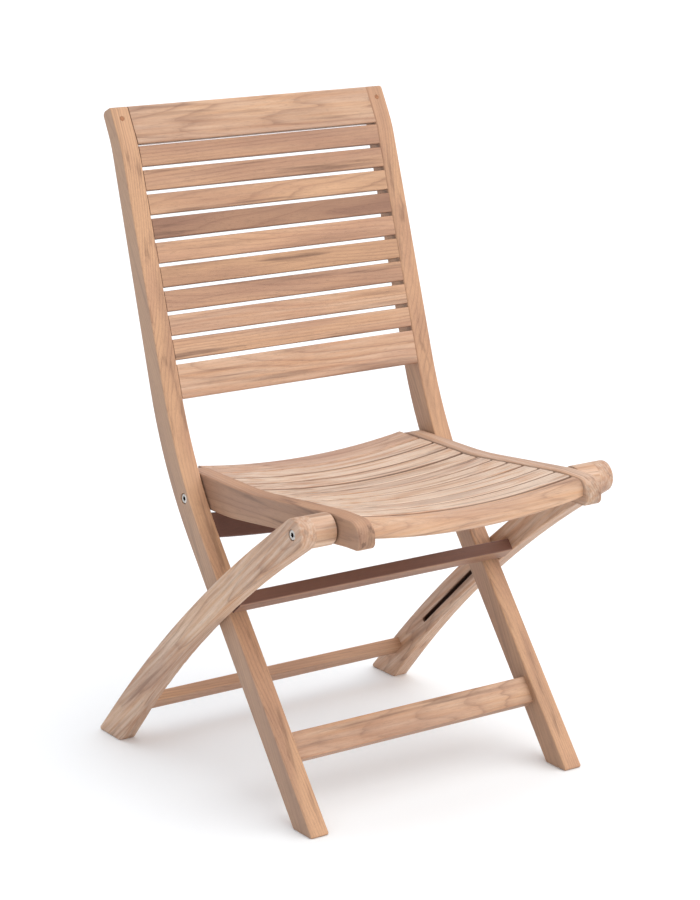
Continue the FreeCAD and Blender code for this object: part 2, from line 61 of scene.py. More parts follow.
class Value:
    """A number that varies over a surface: a node's output socket with arithmetic."""

    def __init__(self, graph: "Graph", socket: bpy.types.NodeSocket) -> None:
        """Keep the graph and the socket that carries the number."""
        self.graph = graph
        self.socket = socket

    def _math(self, operation: str, *operands: Operand) -> "Value":
        """Add a Math node.

        Args:
            operation: the Math node's operation.
            operands: its inputs in order, numbers or values.

        Returns:
            The node's result.
        """
        inputs = dict(enumerate(operands))
        return self.graph.value("ShaderNodeMath", {"operation": operation}, inputs)

    def __add__(self, other: Operand) -> "Value":
        """This value plus another."""
        return self._math("ADD", self, other)

    def __radd__(self, other: Number) -> "Value":
        """A number plus this value."""
        return self._math("ADD", other, self)

    def __sub__(self, other: Operand) -> "Value":
        """This value less another."""
        return self._math("SUBTRACT", self, other)

    def __rsub__(self, other: Number) -> "Value":
        """A number less this value."""
        return self._math("SUBTRACT", other, self)

    def __mul__(self, other: Operand) -> "Value":
        """This value times another."""
        return self._math("MULTIPLY", self, other)

    def __rmul__(self, other: Number) -> "Value":
        """A number times this value."""
        return self._math("MULTIPLY", other, self)

    def __truediv__(self, other: Operand) -> "Value":
        """This value divided by another."""
        return self._math("DIVIDE", self, other)

    def __pow__(self, other: Operand) -> "Value":
        """This value raised to a power."""
        return self._math("POWER", self, other)

    def __abs__(self) -> "Value":
        """This value without its sign."""
        return self._math("ABSOLUTE", self)

    def fraction(self) -> "Value":
        """The part of this value past the whole number."""
        return self._math("FRACT", self)

    def step(self, low: Number, high: Number) -> "Value":
        """A smooth rise from 0 at low to 1 at high.

        Args:
            low: where the result leaves 0.
            high: where the result reaches 1.

        Returns:
            The eased value between 0 and 1.
        """
        settings = {"interpolation_type": "SMOOTHSTEP", "clamp": True}
        inputs = {"Value": self, "From Min": low, "From Max": high, "To Min": 0.0, "To Max": 1.0}
        return self.graph.value("ShaderNodeMapRange", settings, inputs)


@dataclass
class Graph:
    """Adds nodes to one tree, of a material or of a geometry modifier."""

    tree: bpy.types.NodeTree

    def node(self, kind: str, settings: dict[str, Any] | None = None,
             inputs: dict[Any, Any] | None = None) -> bpy.types.Node:
        """Add a node.

        Args:
            kind: the node's type.
            settings: its own properties, set first; "stops" fills a ramp.
            inputs: socket name or number to a value, a socket or a plain number.

        Returns:
            The new node.
        """
        made = self.tree.nodes.new(kind)
        for name, setting in (settings or {}).items():
            if name == "stops":
                self._fill_ramp(made, setting)
            else:
                setattr(made, name, setting)
        for key, given in (inputs or {}).items():
            socket = made.inputs[key]
            if isinstance(given, Value):
                self.tree.links.new(given.socket, socket)
            elif isinstance(given, bpy.types.NodeSocket):
                self.tree.links.new(given, socket)
            else:
                socket.default_value = given
        return made

    @staticmethod
    def _fill_ramp(ramp: bpy.types.Node, stops: Sequence[tuple[float, float]]) -> None:
        """Set a ramp's stops.

        Args:
            ramp: the Color Ramp node.
            stops: position and grey level of each stop, from low to high.
        """
        elements = ramp.color_ramp.elements
        while len(elements) < len(stops):
            elements.new(1.0)
        for element, (position, level) in zip(elements, stops):
            element.position = position
            element.color = (level, level, level, 1.0)

    def value(self, kind: str, settings: dict[str, Any] | None = None,
              inputs: dict[Any, Any] | None = None) -> Value:
        """Add a node as node() does, and wrap its first output."""
        return Value(self, self.node(kind, settings, inputs).outputs[0])

    def noise(self, at: bpy.types.NodeSocket, stretch: Sequence[float], detail: float = 2.0,
              roughness: float = 0.5) -> Value:
        """Soft noise in stretched coordinates.

        Args:
            at: the coordinates, in metres.
            stretch: cycles per metre along each axis.
            detail: octaves of finer noise.
            roughness: how strong the finer octaves are.

        Returns:
            A value about 0.5.
        """
        scaled = self.node("ShaderNodeVectorMath", {"operation": "MULTIPLY"},
                           {0: at, 1: tuple(stretch)}).outputs[0]
        return self.value("ShaderNodeTexNoise", {"noise_dimensions": "3D"},
                          {"Vector": scaled, "Scale": 1.0, "Detail": detail,
                           "Roughness": roughness})

    def blend(self, low: Any, high: Any, factor: Operand) -> bpy.types.NodeSocket:
        """Mix two colours.

        Args:
            low: colour at factor 0, a socket or three numbers.
            high: colour at factor 1.
            factor: how much of the second.

        Returns:
            The mixed colour's socket.
        """
        ends = [c if isinstance(c, bpy.types.NodeSocket) else (*c, 1.0) for c in (low, high)]
        mix = self.node("ShaderNodeMix", {"data_type": "RGBA", "clamp_factor": True},
                        {0: factor, 6: ends[0], 7: ends[1]})
        return mix.outputs[2]

    def dot(self, first: bpy.types.NodeSocket, second: Sequence[float]) -> Value:
        """The dot product of a vector socket with a fixed direction."""
        made = self.node("ShaderNodeVectorMath", {"operation": "DOT_PRODUCT"},
                         {0: first, 1: tuple(second)})
        return Value(self, made.outputs["Value"])


def new_material(name: str) -> tuple[bpy.types.Material, Graph, bpy.types.Node]:
    """Start a node material.

    Args:
        name: the material's name.

    Returns:
        The material, a graph on its tree, and its Principled shader joined to the output.
    """
    material = bpy.data.materials.new(name)
    material.use_nodes = True
    graph = Graph(material.node_tree)
    graph.tree.nodes.clear()
    shader = graph.node("ShaderNodeBsdfPrincipled")
    graph.node("ShaderNodeOutputMaterial", None, {"Surface": shader.outputs[0]})
    return material, graph, shader


# ---- places in the frame ----------------------------------------------------------------

def corners(node: str) -> tuple[Vector, Vector]:
    """The lowest and highest corners of a frame node's box."""
    low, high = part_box(node)
    return Vector(low), Vector(high)


def middle(node: str) -> Vector:
    """The middle of a frame node's box."""
    low, high = corners(node)
    return (low + high) / 2


def numbered(stem: str, count: int) -> list[str]:
    """The names of a row of like frame nodes, counted from 1."""
    return ["%s_%d" % (stem, i + 1) for i in range(count)]


# ---- finishes ---------------------------------------------------------------------------

class Run(Enum):
    """Which way a board's length and grain run."""

    ACROSS = "across the chair"
    LEVEL = "front to back"
    LEANING_BACK = "up and back"
    LEANING_FORWARD = "up and forward"


@dataclass(frozen=True)
class Lie:
    """How a board lies: its middle, the way its grain runs and the way its wide face looks."""

    middle: Vector
    along: Vector
    face: Vector

    @classmethod
    def of_node(cls, node: str, run: Run, lean: float = 0.0) -> "Lie":
        """Work out how a frame node lies from its box.

        Args:
            node: the frame node's name.
            run: which way its length runs.
            lean: for a cross piece, how far its top leans back, in radians.

        Returns:
            The node's lie.
        """
        low, high = corners(node)
        size = high - low
        sideways = Vector((1.0, 0.0, 0.0))
        if run is Run.ACROSS:
            return cls(middle(node), sideways, Vector((0.0, -math.cos(lean), math.sin(lean))))
        along = {Run.LEVEL: Vector((0.0, 1.0, 0.0)),
                 Run.LEANING_BACK: Vector((0.0, size.y, size.z)).normalized(),
                 Run.LEANING_FORWARD: Vector((0.0, -size.y, size.z)).normalized()}[run]
        return cls(middle(node), along, sideways)

    def turn(self) -> Matrix:
        """The rotation whose x runs with the grain and whose y is the face's direction."""
        third = self.along.cross(self.face).normalized()
        return Matrix((self.along, self.face, third)).transposed()


TONE_NAMES = ("brown", "pink", "veins", "bleach_and_sheen")


@dataclass(frozen=True)
class Tone:
    """One board's own look.

    Attributes:
        brown: how brown it is, 0 to 1.
        pink: how pink it is, 0 to 1.
        veins: how strongly veined it is, 0 to 1.
        bleach_and_sheen: how far sun and rain have paled it, and on the seat slats painted sheen
            too, 0 to 1.
        cut: which part of the tree it comes from, as a shift of its grain, m.
        narrow_face_shade: painted shade on its narrow faces, standing in for the shade in gaps and
            under the seat, 0 to 1.
        wide_face_shade: painted shade, greyer and darker, on its wide side faces, 0 to 1.
    """

    brown: Operand
    pink: Operand
    veins: Operand
    bleach_and_sheen: Operand
    cut: Any
    narrow_face_shade: float = 0.0
    wide_face_shade: float = 0.0

    @classmethod
    def named_values(cls, graph: Graph, narrow_face_shade: float) -> "Tone":
        """A tone that each slat of one mesh carries as named values.

        Args:
            graph: the material's graph.
            narrow_face_shade: how much painted shade, for the gaps between them, falls on all the
                slats' narrow faces.

        Returns:
            The tone.
        """
        def read(name: str, out: str) -> bpy.types.NodeSocket:
            """One named value's socket."""
            return graph.node("ShaderNodeAttribute", {"attribute_name": name}).outputs[out]

        parts = [Value(graph, read(name, "Fac")) for name in TONE_NAMES]
        return cls(*parts, read("cut", "Vector"), narrow_face_shade)


@dataclass(frozen=True)
class Slot:
    """A blind slot in a leg's inner face, with painted shade inside.

    Attributes:
        start: middle of one round end.
        end: middle of the other.
        face: how far the leg's inner face is from the chair's middle, m.
        half: half the slot's width, m.
        deep: the slot's depth, m.
        blur: how far past the slot's sides the painted shade reaches and has gone, m.
        dim: how far into the slot the painted shade begins and is full, m.
    """

    start: Vector
    end: Vector
    face: float
    half: float = 0.0036
    deep: float = 0.011
    blur: tuple[float, float] = (0.0002, 0.0009)
    dim: tuple[float, float] = (0.0004, 0.0050)

    def mask(self, graph: Graph, place: bpy.types.NodeSocket) -> Value:
        """Tell the slot's walls, which take painted shade, from the rest of the leg.

        Args:
            graph: the material's graph.
            place: the point's place on the chair.

        Returns:
            The painted shade's strength, rising to 1 as the slot goes into the leg.
        """
        centre = 0.5 * (self.start + self.end)
        along = (self.end - self.start).normalized()
        across = Vector((0.0, -along.z, along.y))
        reach = 0.5 * (self.end - self.start).length + self.half
        off = abs(graph.dot(place, across) - centre.dot(across))
        far = abs(graph.dot(place, along) - centre.dot(along))
        sunk = abs(graph.dot(place, (1.0, 0.0, 0.0))) - self.face
        beside = off.step(self.half + self.blur[0], self.half + self.blur[1])
        beyond = far.step(reach + self.blur[0], reach + self.blur[1])
        below = sunk.step(self.deep + 0.001, self.deep + 0.002)
        return (1.0 - beside) * (1.0 - beyond) * (sunk.step(*self.dim) * (1.0 - below))


@dataclass(frozen=True)
class Teak:
    """Bare sanded teak.

    Attributes:
        honey: colour of the lightest boards.
        rose: colour of the pinkish boards.
        umber: colour of the brownest boards.
        vein: colour of the dark lines.
        ash: colour of weathered faces, and of the seat slats' painted sheen.
        grey: colour of painted shade on the boards' side faces.
        ring_gap: spacing of the growth rings, m.
        pith: distance from the board's middle to the tree's centre, m.
        slant: angle between the board and the tree's length, which draws out the figure.
    """

    honey: Colour = (0.55, 0.315, 0.178)
    rose: Colour = (0.49, 0.262, 0.165)
    umber: Colour = (0.185, 0.086, 0.057)
    vein: Colour = (0.105, 0.045, 0.026)
    ash: Colour = (0.69, 0.525, 0.405)
    grey: Colour = (0.33, 0.235, 0.180)
    ring_gap: float = 0.0042
    pith: float = 0.050
    slant: float = math.radians(2.2)

    def dress(self, name: str, lie: Lie, tone: Tone | float, crossed: bool = True,
              slot: Slot | None = None) -> bpy.types.Material:
        """Make the finish for one board.

        Args:
            name: the material's name.
            lie: how the board lies.
            tone: the board's look, or the painted shade on the narrow faces of slats that carry
                their own.
            crossed: whether cut ends and rounded edges are told from the surface's direction.
            slot: a slot in the board, if it has one, with painted shade inside.

        Returns:
            The board's material.
        """
        material, graph, shader = new_material(name)
        if not isinstance(tone, Tone):
            tone = Tone.named_values(graph, tone)
        coords = graph.node("ShaderNodeTexCoord")
        tilt = Matrix.Rotation(self.slant, 3, "Z")
        centred = graph.node("ShaderNodeMapping", {"vector_type": "TEXTURE"},
                             {"Vector": coords.outputs["Object"], "Location": lie.middle,
                              "Rotation": (lie.turn() @ tilt).to_euler()})
        board = graph.node("ShaderNodeVectorMath", {"operation": "ADD"},
                           {0: centred.outputs[0], 1: tone.cut}).outputs[0]
        rings = self._rings(graph, board)
        fibre = graph.noise(board, (11.0, 950.0, 950.0), 3.0, 0.6)
        colour = self._colour(graph, board, rings, tone)
        grain = 0.80 + 0.40 * fibre
        pores = graph.noise(board, (45.0, 2100.0, 2100.0), 1.0).step(0.60, 0.70)
        if crossed:
            normal = coords.outputs["Normal"]
            cut_end = abs(graph.dot(normal, lie.along)).step(0.55, 0.95)
            facing = graph.dot(normal, lie.face) ** 2.0
            # Rounded edges a little lighter: partly sanded wear, partly painted highlight where
            # they catch the light.
            edge = (4.0 * facing * (1.0 - facing)).step(0.25, 0.95)
            blotch = graph.noise(board, (90.0, 90.0, 90.0), 2.0).step(0.35, 0.75)
            grain = grain * (1.0 - cut_end * (0.14 + 0.26 * blotch)) * (1.0 + 0.10 * edge)
            narrow = (1.0 - facing).step(0.2, 0.8)
            # Painted shade: umber on the narrow faces stands in for the shade in the gaps between
            # slats and under the seat.
            colour = graph.blend(colour, self.umber, tone.narrow_face_shade * narrow)
            # Painted shade: grey on the wide side faces stands in for the shade on the sides that
            # get less light.
            colour = graph.blend(colour, self.grey, tone.wide_face_shade * (1.0 - narrow))
        if slot:
            # Painted shade in the slot: its walls go to vein colour deeper in.
            dark = slot.mask(graph, coords.outputs["Object"])
            colour = graph.blend(colour, self.vein, dark)
            grain = grain * (1.0 - 0.3 * dark)
        grain = grain * (1.0 - 0.20 * pores)
        final = graph.node("ShaderNodeHueSaturation", None, {"Value": grain, "Color": colour})
        graph.tree.links.new(final.outputs[0], shader.inputs["Base Color"])
        rough = 0.42 + 0.22 * fibre + 0.08 * rings
        graph.tree.links.new(rough.socket, shader.inputs["Roughness"])
        shader.inputs["Specular IOR Level"].default_value = 0.45
        height = 0.55 * fibre - 0.35 * rings - 0.6 * pores
        bump = graph.node("ShaderNodeBump", None,
                          {"Height": height, "Strength": 0.30, "Distance": 0.0007})
        graph.tree.links.new(bump.outputs[0], shader.inputs["Normal"])
        return material

    def _rings(self, graph: Graph, board: bpy.types.NodeSocket) -> Value:
        """Growth rings cut by the board.

        Args:
            graph: the material's graph.
            board: the board's own coordinates, x with the grain.

        Returns:
            A value rising to 1 at the dark line that ends each ring.
        """
        parts = graph.node("ShaderNodeSeparateXYZ", None, {0: board})
        sway = graph.noise(board, (2.2, 13.0, 13.0), 2.0)
        side = Value(graph, parts.outputs[1]) + 0.030 * (sway - 0.5) + self.pith
        rise = Value(graph, parts.outputs[2]) + 0.020 * (sway - 0.5)
        radius = (side * side + rise * rise) ** 0.5
        flutter = graph.noise(board, (5.0, 90.0, 90.0), 2.0)
        phase = (radius / self.ring_gap + 0.9 * flutter).fraction()
        stops = [(0.0, 0.55), (0.10, 0.12), (0.55, 0.0), (0.86, 0.45), (0.96, 1.0)]
        profile = graph.value("ShaderNodeValToRGB", {"stops": stops}, {0: phase})
        uneven = graph.noise(board, (1.5, 55.0, 55.0), 1.0).step(0.30, 0.70)
        return profile * (0.35 + 0.65 * uneven)

    def _colour(self, graph: Graph, board: bpy.types.NodeSocket, rings: Value,
                tone: Tone) -> bpy.types.NodeSocket:
        """The board's colour before its fine grain.

        Args:
            graph: the material's graph.
            board: the board's own coordinates.
            rings: the growth rings.
            tone: the board's tone.

        Returns:
            The colour's socket.
        """
        cloud = 0.5 * (graph.noise(board, (3.4, 30.0, 30.0), 2.0).step(0.32, 0.68) - 0.5)
        streak = graph.noise(board, (2.5, 190.0, 190.0), 2.0) - 0.5
        warm = graph.blend(self.honey, self.rose, cloud + tone.pink)
        # Paler toward ash: weathering, and on the seat slats painted sheen.
        weathered_and_sheened = graph.blend(warm, self.ash, tone.bleach_and_sheen * (1.0 + 5.0 * streak))
        base = graph.blend(weathered_and_sheened, self.umber, 0.50 * cloud + tone.brown)
        ringed = graph.blend(base, self.umber, 0.46 * rings)
        vein = graph.noise(board, (1.1, 85.0, 85.0), 3.0, 0.55).step(0.55, 0.70)
        smoke = graph.noise(board, (2.4, 34.0, 34.0), 2.0).step(0.50, 0.76)
        veined = graph.blend(ringed, self.vein, 0.70 * vein * tone.veins)
        return graph.blend(veined, self.umber, 0.52 * smoke * tone.veins)


@dataclass(frozen=True)
class Metal:
    """A machined metal.

    Attributes:
        colour: base colour.
        roughness: mean roughness.
    """

    colour: Colour = (0.55, 0.54, 0.52)
    roughness: float = 0.28

    def dress(self, name: str) -> bpy.types.Material:
        """Make the metal's material: turning marks, smudges, and painted shade wherever the mesh
        marks a socket.
        """
        material, graph, shader = new_material(name)
        place = graph.node("ShaderNodeTexCoord").outputs["Object"]
        marks = graph.noise(place, (60.0, 2400.0, 2400.0), 2.0)
        smudge = graph.noise(place, (260.0, 260.0, 260.0), 3.0)
        dull = tuple(0.55 * channel for channel in self.colour)
        clean = graph.blend(self.colour, dull, smudge.step(0.45, 0.75))
        # Painted shade: points that the mesh marks as a socket go near black.
        socket_shade = graph.node("ShaderNodeAttribute", {"attribute_name": "socket_shade"})
        colour = graph.blend(clean, (0.012, 0.010, 0.009), Value(graph, socket_shade.outputs["Fac"]))
        graph.tree.links.new(colour, shader.inputs["Base Color"])
        rough = self.roughness + 0.18 * marks + 0.15 * smudge
        graph.tree.links.new(rough.socket, shader.inputs["Roughness"])
        shader.inputs["Metallic"].default_value = 1.0
        bump = graph.node("ShaderNodeBump", None,
                          {"Height": marks, "Strength": 0.15, "Distance": 0.0002})
        graph.tree.links.new(bump.outputs[0], shader.inputs["Normal"])
        return material


TEAK = Teak()
# Teak with a darker umber: painted shade for the boards in the seat's shadow.
SEAT_SHADOW_TEAK = Teak(umber=(0.148, 0.062, 0.042))
PLUG_TEAK = Teak(honey=(0.40, 0.165, 0.062), rose=(0.38, 0.150, 0.062))
STEEL = Metal()
BOLT_STEEL = Metal((0.60, 0.58, 0.55), 0.32)
BRASS = Metal((0.72, 0.52, 0.24), 0.35)


# ---- making and settling pieces ---------------------------------------------------------

def link(name: str, mesh: bpy.types.Mesh) -> bpy.types.Object:
    """Put a mesh in the scene as a new object."""
    made = bpy.data.objects.new(name, mesh)
    bpy.context.collection.objects.link(made)
    return made


def places_mesh(name: str, places: Sequence[Sequence[float]],
                values: dict[str, Sequence[Any]]) -> bpy.types.Mesh:
    """A mesh of loose points that carry named values.

    Args:
        name: the mesh's name.
        places: where each point stands, m.
        values: a number, or a vector, for each point under each name.

    Returns:
        The mesh.
    """
    mesh = bpy.data.meshes.new(name)
    mesh.from_pydata([tuple(p) for p in places], [], [])
    for key, numbers in values.items():
        vector = hasattr(numbers[0], "__len__")
        layer = mesh.attributes.new(key, "FLOAT_VECTOR" if vector else "FLOAT", "POINT")
        for item, number in zip(layer.data, numbers):
            if vector:
                item.vector = number
            else:
                item.value = number
    return mesh


def new_geometry_tree(name: str, sockets: dict[str, str]) -> tuple[Graph, bpy.types.Node]:
    """Start a geometry tree.

    Args:
        name: the tree's name.
        sockets: name to socket type of each input after the geometry.

    Returns:
        A graph on the tree and its group input node.
    """
    tree = bpy.data.node_groups.new(name, "GeometryNodeTree")
    tree.interface.new_socket("Geometry", in_out="INPUT", socket_type="NodeSocketGeometry")
    for socket, kind in sockets.items():
        tree.interface.new_socket(socket, in_out="INPUT", socket_type=kind)
    tree.interface.new_socket("Geometry", in_out="OUTPUT", socket_type="NodeSocketGeometry")
    graph = Graph(tree)
    return graph, graph.node("NodeGroupInput")


def grow(name: str, mesh: bpy.types.Mesh, tree: bpy.types.NodeTree,
         inputs: dict[str, Any]) -> bpy.types.Object:
    """Run a geometry tree on a mesh and keep the result as a plain mesh.

    Args:
        name: the finished piece's name.
        mesh: what the tree starts from.
        tree: the geometry tree.
        inputs: the tree's inputs by name.

    Returns:
        The finished piece.
    """
    maker = link(name + "_maker", mesh)
    modifier = maker.modifiers.new("grow", "NODES")
    modifier.node_group = tree
    sockets = {item.name: item.identifier for item in tree.interface.items_tree
               if item.item_type == "SOCKET" and item.in_out == "INPUT"}
    for key, given in inputs.items():
        modifier[sockets[key]] = given
    even = maker.modifiers.new("even_shading", "WEIGHTED_NORMAL")
    even.keep_sharp = True
    depsgraph = bpy.context.evaluated_depsgraph_get()
    plain = bpy.data.meshes.new_from_object(maker.evaluated_get(depsgraph),
                                            preserve_all_data_layers=True, depsgraph=depsgraph)
    plain.name = name
    bpy.data.objects.remove(maker)
    return link(name, plain)


def slat_tree() -> bpy.types.NodeTree:
    """The tree that lays a rounded, dished slat with a tongue at each end on every point.

    Returns:
        The tree, with the slat's sizes in metres as its inputs.
    """
    floats = ("Length", "Size Y", "Size Z", "Round", "Dish", "Tongue Long", "Tongue Y",
              "Tongue Z")
    sockets = {name: "NodeSocketFloat" for name in floats}
    sockets["Finish"] = "NodeSocketMaterial"
    graph, given = new_geometry_tree("slat_row", sockets)
    size = {name: Value(graph, given.outputs[name]) for name in floats}
    half = size["Length"] * 0.5

    def spot(x: Any = 0.0, y: Any = 0.0, z: Any = 0.0) -> bpy.types.NodeSocket:
        """A vector from three numbers or values."""
        return graph.node("ShaderNodeCombineXYZ", None, {0: x, 1: y, 2: z}).outputs[0]

    run = graph.node("GeometryNodeCurvePrimitiveLine", None,
                     {"Start": spot(0.0 - half), "End": spot(half)})
    fine = graph.node("GeometryNodeResampleCurve", None, {"Curve": run.outputs[0], "Count": 41})
    here = graph.node("ShaderNodeSeparateXYZ", None,
                      {0: graph.node("GeometryNodeInputPosition").outputs[0]})
    share = Value(graph, here.outputs[0]) / half
    sag = size["Dish"] * (share * share - 1.0) - size["Size Z"] * 0.5
    sunk = graph.node("GeometryNodeSetPosition", None,
                      {"Geometry": fine.outputs[0], "Offset": spot(0.0, 0.0, sag)})
    upright = graph.node("GeometryNodeSetCurveNormal", {"mode": "Z_UP"},
                         {"Curve": sunk.outputs[0]})
    outline = graph.node("GeometryNodeCurvePrimitiveQuadrilateral", None,
                         {"Width": size["Size Y"], "Height": size["Size Z"]})
    rounded = graph.node("GeometryNodeFilletCurve", {"mode": "POLY"},
                         {"Curve": outline.outputs[0], "Radius": size["Round"],
                          "Limit Radius": True, "Count": 4})
    body = graph.node("GeometryNodeCurveToMesh", None,
                      {"Curve": upright.outputs[0], "Profile Curve": rounded.outputs[0],
                       "Fill Caps": True})
    tongue = graph.node("GeometryNodeMeshCube", None,
                        {"Size": spot(size["Tongue Long"] + 0.001, size["Tongue Y"],
                                      size["Tongue Z"])})
    reach = half + size["Tongue Long"] * 0.5 - 0.0005
    low = 0.0 - size["Size Z"] * 0.5
    parts = [body.outputs[0]]
    for direction in (-1.0, 1.0):
        moved = graph.node("GeometryNodeTransform", None,
                           {"Geometry": tongue.outputs[0],
                            "Translation": spot(direction * reach, 0.0, low)})
        parts.append(moved.outputs[0])
    return finish_tree(graph, given, parts)


def finish_tree(graph: Graph, given: bpy.types.Node,
                parts: Sequence[bpy.types.NodeSocket]) -> bpy.types.NodeTree:
    """End a tree: one copy of the parts on every point, realized, smooth and with its finish.

    Args:
        graph: the tree's graph.
        given: its group input, with a Finish socket.
        parts: the geometry that one copy is made of.

    Returns:
        The finished tree.
    """
    joined = graph.node("GeometryNodeJoinGeometry")
    for part in parts:
        graph.tree.links.new(part, joined.inputs[0])
    turn = graph.node("GeometryNodeInputNamedAttribute", {"data_type": "FLOAT_VECTOR"},
                      {"Name": "turn"})
    turned = graph.node("FunctionNodeEulerToRotation", None, {0: turn.outputs["Attribute"]})
    copies = graph.node("GeometryNodeInstanceOnPoints", None,
                        {"Points": given.outputs["Geometry"], "Instance": joined.outputs[0],
                         "Rotation": turned.outputs[0]})
    real = graph.node("GeometryNodeRealizeInstances", None, {0: copies.outputs[0]})
    smooth = graph.node("GeometryNodeSetShadeSmooth", None,
                        {"Geometry": real.outputs[0], "Shade Smooth": True})
    dressed = graph.node("GeometryNodeSetMaterial", None,
                         {"Geometry": smooth.outputs[0], "Material": given.outputs["Finish"]})
    graph.node("NodeGroupOutput", None, {0: dressed.outputs[0]})
    return graph.tree


def copies_tree() -> bpy.types.NodeTree:
    """The tree that puts a copy of a template object on every point, turned as it says."""
    graph, given = new_geometry_tree("fastener_set", {"Template": "NodeSocketObject",
                                                      "Finish": "NodeSocketMaterial"})
    template = graph.node("GeometryNodeObjectInfo", None, {"Object": given.outputs["Template"]})
    return finish_tree(graph, given, [template.outputs["Geometry"]])


def turned_mesh(name: str, rings: Sequence[tuple[float, float, bool]],
                segments: int = 48) -> bpy.types.Mesh:
    """A closed turned shape about z, some of whose rings may be hexagons.

    Args:
        name: the mesh's name.
        rings: radius, height and whether six-sided, from the bottom pole round to the last.
        segments: faces round each ring, a multiple of six.

    Returns:
        The mesh, closed by a pole at each end.
    """
    points = [(0.0, 0.0, rings[0][1])]
    for radius, height, hexagonal in rings:
        for i in range(segments):
            angle = 2 * math.pi * i / segments
            reach = radius
            if hexagonal:
                reach /= math.cos((angle % (math.pi / 3)) - math.pi / 6)
            points.append((reach * math.cos(angle), reach * math.sin(angle), height))
    points.append((0.0, 0.0, rings[-1][1]))
    last = len(points) - 1
    faces = [(0, 1 + (i + 1) % segments, 1 + i) for i in range(segments)]
    for ring in range(len(rings) - 1):
        start = 1 + ring * segments
        for i in range(segments):
            j = (i + 1) % segments
            faces.append((start + i, start + j, start + segments + j, start + segments + i))
    start = 1 + (len(rings) - 1) * segments
    faces += [(last, start + i, start + (i + 1) % segments) for i in range(segments)]
    mesh = bpy.data.meshes.new(name)
    mesh.from_pydata(points, [], faces)
    return mesh


# ---- sub-assemblies ---------------------------------------------------------------------

def dress_node(node: str, material: bpy.types.Material) -> None:
    """Give a frame node a finish in every one of its material slots."""
    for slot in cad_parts[node].material_slots:
        slot.material = material
    log.info("%s keeps its frame shape, finished in %s", node, material.name)


@dataclass(frozen=True)
class Board:
    """A frame node that keeps its shape.

    Attributes:
        node: the frame node's name.
        run: which way its length runs.
        tone: its look.
        lean: for a cross piece, how far its top leans back, radians.
        crossed: whether its cut ends and edges show.
        slot: the slot in it, if it has one.
        wood: the teak it is sawn from.
    """

    node: str
    run: Run
    tone: Tone
    lean: float = 0.0
    crossed: bool = True
    slot: Slot | None = None
    wood: Teak = TEAK

    def dress(self) -> None:
        """Finish the board in teak with its grain along it."""
        lie = Lie.of_node(self.node, self.run, self.lean)
        dress_node(self.node, self.wood.dress(self.node + "_teak", lie, self.tone,
                                              self.crossed, self.slot))


def cut_from(number: int) -> tuple[float, float, float]:
    """Where in the tree a board is cut from, so that no two share a figure."""
    return 1.37 * number + 0.41, 0.013 * (number % 4), 0.019 * (number % 3)


def seeded(number: int, brown: float, pink: float, veins: float, bleach_and_sheen: float = 0.0,
           narrow_face_shade: float = 0.0, wide_face_shade: float = 0.0) -> Tone:
    """A tone whose grain is cut from its own part of the tree.

    Args:
        number: which part of the tree.
        brown: how brown the board is.
        pink: how pink it is.
        veins: how strongly veined it is.
        bleach_and_sheen: how far it has paled.
        narrow_face_shade: how much painted shade falls on its narrow faces.
        wide_face_shade: how much painted shade falls on its wide side faces.

    Returns:
        The tone.
    """
    return Tone(brown, pink, veins, bleach_and_sheen, cut_from(number), narrow_face_shade, wide_face_shade)


@dataclass
class SlatRow:
    """A row of like slats laid by the slat tree.

    Attributes:
        name: the piece's name.
        body: the frame body it rides on.
        material: the record's material slot; not used.
        nodes: the frame nodes it stands for, in order.
        leans: how far each slat is turned about its length, radians.
        tones: each slat's brown, pink, veins and bleach_and_sheen.
        length, size_y, size_z: the slat's body, m.
        tongue: the tongue's length, y and z, m.
        dish: how far the middle sags, m.
        edge_round: radius of the long edges, m.
        narrow_face_shade: painted shade on the slats' narrow faces, for the gaps between them, 0 to
            1.
    """

    name: str
    body: str
    material: str
    nodes: list[str]
    leans: list[float]
    tones: list[tuple[float, ...]]
    length: float
    size_y: float
    size_z: float
    tongue: tuple[float, float, float]
    dish: float = 0.0
    edge_round: float = 0.002
    narrow_face_shade: float = 0.45

    def build(self, tree: bpy.types.NodeTree) -> None:
        """Lay the slats and stand them for their frame nodes.

        Args:
            tree: the slat tree.
        """
        rise = 0.5 * (self.size_z + self.dish)
        tops = [middle(node) + Matrix.Rotation(lean, 3, "X") @ Vector((0.0, 0.0, rise))
                for node, lean in zip(self.nodes, self.leans)]
        values = dict(zip(TONE_NAMES, zip(*self.tones)))
        values["turn"] = [(lean, 0.0, 0.0) for lean in self.leans]
        values["cut"] = [cut_from(number) for number in range(len(self.nodes))]
        mesh = places_mesh(self.name + "_places", tops, values)
        row = grow(self.name, mesh, tree, {
            "Length": self.length, "Size Y": self.size_y, "Size Z": self.size_z,
            "Round": self.edge_round, "Dish": self.dish, "Tongue Long": self.tongue[0],
            "Tongue Y": self.tongue[1], "Tongue Z": self.tongue[2], "Finish": self.finish(tops)})
        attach(row, self.body)
        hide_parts(*self.nodes)
        log.info("%s laid: %d slats on %s", self.name, len(self.nodes), self.body)

    def finish(self, tops: Sequence[Vector]) -> bpy.types.Material:
        """Teak that reads each slat's own tone.

        Args:
            tops: the slats' places.

        Returns:
            The row's material.
        """
        centre = sum(tops, Vector()) / len(tops)
        out = Vector((0.0, 0.0, 1.0)) if self.size_y > self.size_z else Vector((0.0, -1.0, 0.0))
        face = Matrix.Rotation(self.leans[0], 3, "X") @ out
        lie = Lie(centre, Vector((1.0, 0.0, 0.0)), face)
        return TEAK.dress(self.name + "_teak", lie, self.narrow_face_shade)


